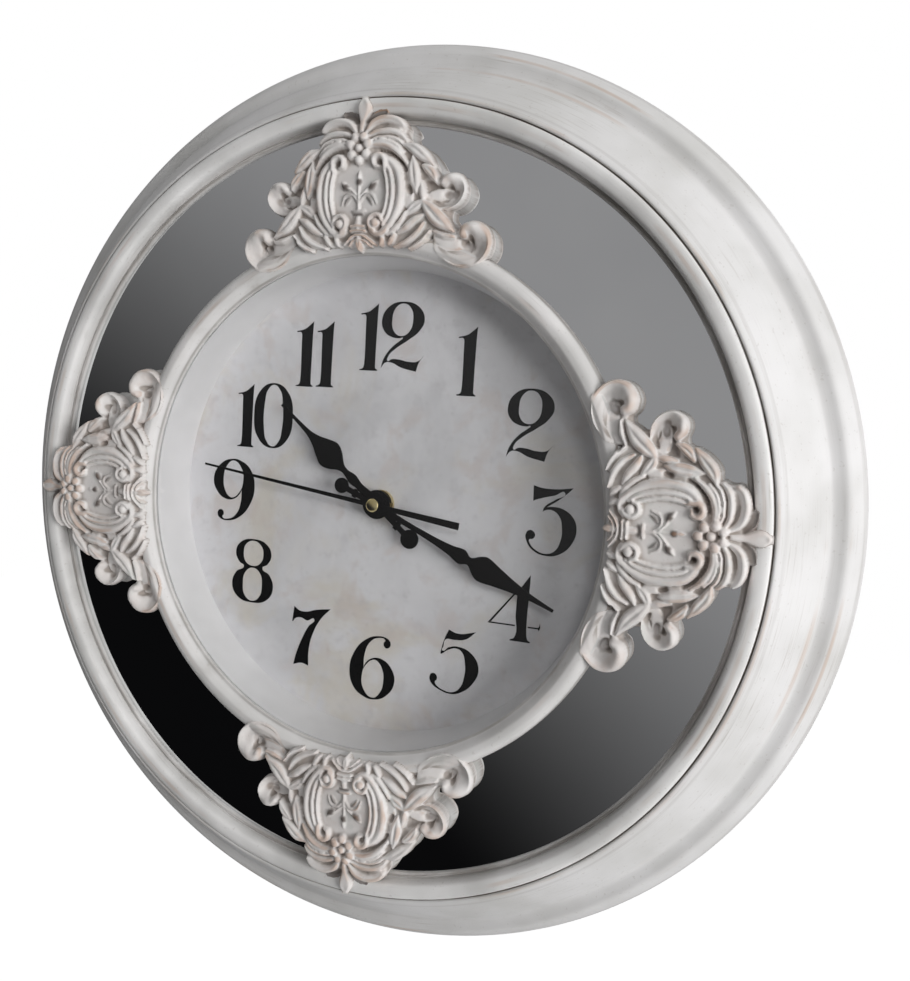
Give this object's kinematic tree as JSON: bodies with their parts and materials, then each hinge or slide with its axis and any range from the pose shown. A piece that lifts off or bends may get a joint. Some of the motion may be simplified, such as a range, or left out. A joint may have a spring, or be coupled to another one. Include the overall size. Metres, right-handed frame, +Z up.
{
  "type": "mirror wall clock",
  "caption": "Round wall clock with a moulded frame, a mirror band round a recessed dial, cast scroll ornaments, black spade hands and a battery movement behind.",
  "frame": {"origin": "middle of the keyhole hanger's round mouth, on the wall plane behind the clock", "axes": "+X to the right seen from the front, +Y into the wall, +Z up; the dial looks along -Y"},
  "size_m": [0.4, 0.0568, 0.4],
  "materials": {
    "frame_paint": "cream-white paint, rubbed and streaked",
    "ornament_cast": "cream-white paint with a brown wash and copper rubbing",
    "mirror": "silvered glass",
    "board": "raw fibreboard",
    "hardboard": "smooth brown hardboard",
    "screw_steel": "zinc plated",
    "hanger_steel": "zinc plated sheet",
    "pan_plastic": "moulded white plastic",
    "wall_paint": "pale grey, satin",
    "dial_print": "printed cloudy grey, black numerals",
    "dial_glass": "clear flat glass",
    "case_plastic": "black moulded plastic",
    "cover_plastic": "black moulded plastic",
    "bridge_plastic": "natural plastic",
    "stator_steel": "stamped soft iron",
    "coil_wire": "enamelled copper wire",
    "circuit": "green laminate",
    "cell_sleeve": "plain dark grey sleeve",
    "contact_steel": "nickel plated strip",
    "brass": "turned brass",
    "gasket_rubber": "black rubber",
    "hand_paint": "stamped sheet, matt black paint",
    "wheel_plastic": "natural acetal",
    "knob_plastic": "grey moulded plastic",
    "rotor_magnet": "bonded magnet"
  },
  "bodies": {
    "clock_body": {"outer_frame": "frame_paint", "bead_ring": "frame_paint", "mirror_glass": "mirror", "mirror_board": "board", "frame_screws": "screw_steel", "back_panel": "hardboard", "panel_screws": "screw_steel", "hanger_plate": "hanger_steel", "hanger_screws": "screw_steel", "dial_pan": "pan_plastic", "pan_screws": "screw_steel", "reflector_ring": "wall_paint", "dial_plate": "dial_print", "dial_glass": "dial_glass", "dial_bezel": "frame_paint", "ornament_top": "ornament_cast", "ornament_right": "ornament_cast", "ornament_bottom": "ornament_cast", "ornament_left": "ornament_cast", "movement_case": "case_plastic", "movement_cover": "cover_plastic", "train_plate": "bridge_plastic", "stator": "stator_steel", "coil": "coil_wire", "circuit_board": "circuit", "battery": "cell_sleeve", "battery_contacts": "contact_steel", "threaded_bush": "brass", "rubber_gasket": "gasket_rubber", "clamp_washer": "brass", "clamp_nut": "brass"},
    "hour_set": {"hour_hand": "hand_paint", "hour_wheel": "wheel_plastic"},
    "minute_set": {"minute_hand": "hand_paint", "cannon_pinion": "wheel_plastic"},
    "setting_set": {"minute_wheel": "wheel_plastic", "setting_knob": "knob_plastic"},
    "second_set": {"second_hand": "hand_paint", "second_cap": "brass", "second_wheel": "wheel_plastic"},
    "third_set": {"third_wheel": "wheel_plastic"},
    "centre_set": {"centre_wheel": "wheel_plastic"},
    "fifth_set": {"fifth_wheel": "wheel_plastic"},
    "rotor_set": {"rotor": "rotor_magnet"}
  },
  "joints": [
    {"name": "minute_turn", "type": "hinge", "parent": "clock_body", "child": "minute_set", "pos_m": [0, 0, -0.15], "axis": [0, 1, 0], "continuous": true},
    {"name": "hour_turn", "type": "hinge", "parent": "clock_body", "child": "hour_set", "pos_m": [0, 0, -0.15], "axis": [0, 1, 0], "continuous": true},
    {"name": "setting_turn", "type": "hinge", "parent": "clock_body", "child": "setting_set", "pos_m": [0.0108, 0, -0.15], "axis": [0, 1, 0], "continuous": true},
    {"name": "second_turn", "type": "hinge", "parent": "clock_body", "child": "second_set", "pos_m": [0, 0, -0.15], "axis": [0, 1, 0], "continuous": true},
    {"name": "third_turn", "type": "hinge", "parent": "clock_body", "child": "third_set", "pos_m": [-0.0102, 0, -0.15], "axis": [0, 1, 0], "continuous": true},
    {"name": "centre_turn", "type": "hinge", "parent": "clock_body", "child": "centre_set", "pos_m": [0, 0, -0.15], "axis": [0, 1, 0], "continuous": true},
    {"name": "fifth_turn", "type": "hinge", "parent": "clock_body", "child": "fifth_set", "pos_m": [0, 0, -0.14125], "axis": [0, 1, 0], "continuous": true},
    {"name": "rotor_turn", "type": "hinge", "parent": "clock_body", "child": "rotor_set", "pos_m": [0, 0, -0.13375], "axis": [0, 1, 0], "continuous": true}
  ],
  "couplings": [
    {"joint": "hour_turn", "follows": "minute_turn", "ratio": 0.083333},
    {"joint": "setting_turn", "follows": "minute_turn", "ratio": -0.33333},
    {"joint": "third_turn", "follows": "second_turn", "ratio": -0.13333},
    {"joint": "centre_turn", "follows": "second_turn", "ratio": 0.016667},
    {"joint": "fifth_turn", "follows": "second_turn", "ratio": -6},
    {"joint": "rotor_turn", "follows": "second_turn", "ratio": 30}
  ]
}
